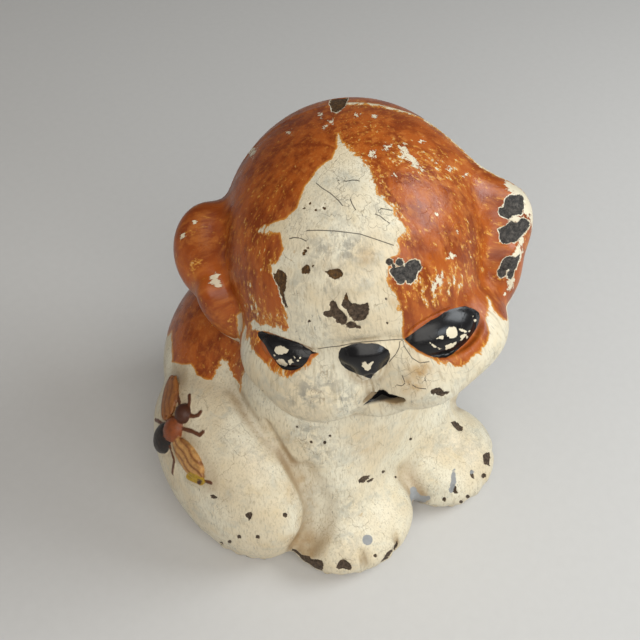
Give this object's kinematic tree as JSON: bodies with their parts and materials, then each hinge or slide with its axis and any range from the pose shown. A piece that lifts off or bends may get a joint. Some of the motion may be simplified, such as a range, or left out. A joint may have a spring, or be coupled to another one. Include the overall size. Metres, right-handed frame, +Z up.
{
  "type": "cast iron dog statue",
  "caption": "Seated puppy statue in painted cast iron with a large tipped head, floppy ears and a bee in low relief on its haunch; it stands on its flat underside.",
  "frame": {"origin": "on the flat underside, below the middle of the body", "axes": "+Z up, the body faces -Y, +X is the puppy's left side; the head is turned towards -X"},
  "size_m": [0.1004, 0.1051, 0.1254],
  "materials": {
    "painted_iron": "old glossy enamel, crazed and chipped to dark iron"
  },
  "bodies": {
    "root": {"puppy_casting": "painted_iron"}
  },
  "joints": []
}
